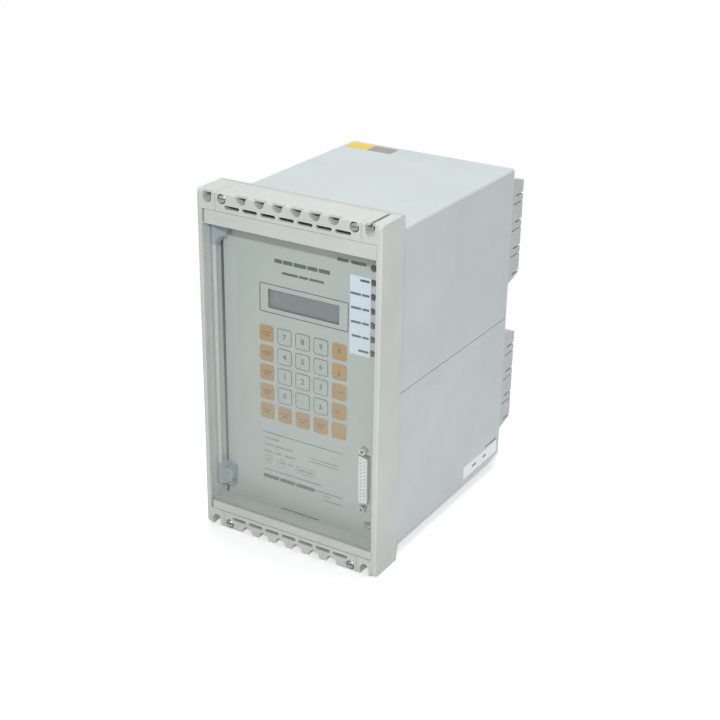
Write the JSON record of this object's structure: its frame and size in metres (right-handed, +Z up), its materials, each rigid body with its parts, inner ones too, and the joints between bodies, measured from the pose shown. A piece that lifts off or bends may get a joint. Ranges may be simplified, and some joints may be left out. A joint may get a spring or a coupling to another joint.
{
  "type": "protection relay",
  "caption": "Flush-mounting numerical overcurrent relay: deep sheet-metal housing, notched front frame, hinged clear cover over a keypad, display and lamps, rear screw terminals.",
  "frame": {"origin": "centre of the plane where the front frame meets the switchboard panel, in the middle of the four fixing holes", "axes": "+X to the right and +Z up as seen from the front, +Y into the panel, towards the rear terminals"},
  "size_m": [0.15, 0.221, 0.266],
  "materials": {
    "frame_plastic": "fine texture",
    "shell_paint": "satin",
    "terminal_plastic": "fine texture",
    "plated_steel": "zinc plated",
    "brass": "satin",
    "clear_pane": "clear",
    "plate_metal": "satin",
    "panel_foil": "fine texture",
    "label_white": "matt",
    "display_glass": "gloss",
    "lamp_red": "gloss",
    "black_plastic": "matt",
    "socket_white": "matt",
    "bail_plastic": "satin",
    "board_laminate": "solder resist",
    "relay_case": "satin",
    "core_iron": "varnished",
    "capacitor_sleeve": "gloss",
    "heat_sink_metal": "black anodised"
  },
  "bodies": {
    "housing": {"frame_uprights": "frame_plastic", "frame_rails": "frame_plastic", "frame_shoulder": "frame_plastic", "corner_blocks": "frame_plastic", "top_strip": "frame_plastic", "bottom_strip": "frame_plastic", "strip_screws": "plated_steel", "upper_shell": "shell_paint", "lower_shell": "shell_paint", "shell_screws": "plated_steel", "back_plate": "shell_paint", "back_plate_screws": "plated_steel", "terminal_block_upper_left": "terminal_plastic", "terminal_block_upper_right": "terminal_plastic", "terminal_block_lower_left": "terminal_plastic", "terminal_block_lower_right": "terminal_plastic", "terminal_clamps": "plated_steel", "terminal_screws": "plated_steel", "earth_screw": "brass", "earth_washer": "plated_steel", "rear_sockets": "black_plastic", "upper_guides": "black_plastic", "lower_guides": "black_plastic", "front_plate": "plate_metal", "keypad_foil": "panel_foil", "label_strip": "label_white", "lcd_window": "clear_pane", "lcd_bezel": "black_plastic", "lcd_glass": "display_glass", "status_leds": "lamp_red", "led_holder": "black_plastic", "dsub_shell": "plated_steel", "dsub_insulator": "socket_white", "dsub_jack_screws": "plated_steel", "bail_brackets": "bail_plastic", "bail_pins": "plated_steel", "operator_board": "board_laminate", "board_spacers": "plated_steel", "spacer_nuts": "plated_steel", "board_brackets": "plated_steel", "board_header": "black_plastic", "processor_board": "board_laminate", "processor_chips": "black_plastic", "backup_battery": "plated_steel", "input_output_board": "board_laminate", "output_relays": "relay_case", "current_transformers": "core_iron", "supply_board": "board_laminate", "supply_transformer": "core_iron", "supply_capacitors": "capacitor_sleeve", "heat_sink": "heat_sink_metal", "rear_plugs": "black_plastic"},
    "cover": {"cover_top_bar": "frame_plastic", "cover_bottom_bar": "frame_plastic", "cover_pane": "clear_pane", "cover_catch": "frame_plastic", "cover_pins": "plated_steel"},
    "bail": {"release_bail": "bail_plastic"}
  },
  "joints": [
    {"name": "cover_hinge", "type": "hinge", "parent": "housing", "child": "cover", "pos_m": [-0.0681, -0.0271, 0], "axis": [0, 0, -1], "range_deg": [0, 90]},
    {"name": "bail_hinge", "type": "hinge", "parent": "housing", "child": "bail", "pos_m": [-0.0635, -0.0138, 0], "axis": [0, 0, 1], "range_deg": [0, 95]}
  ]
}
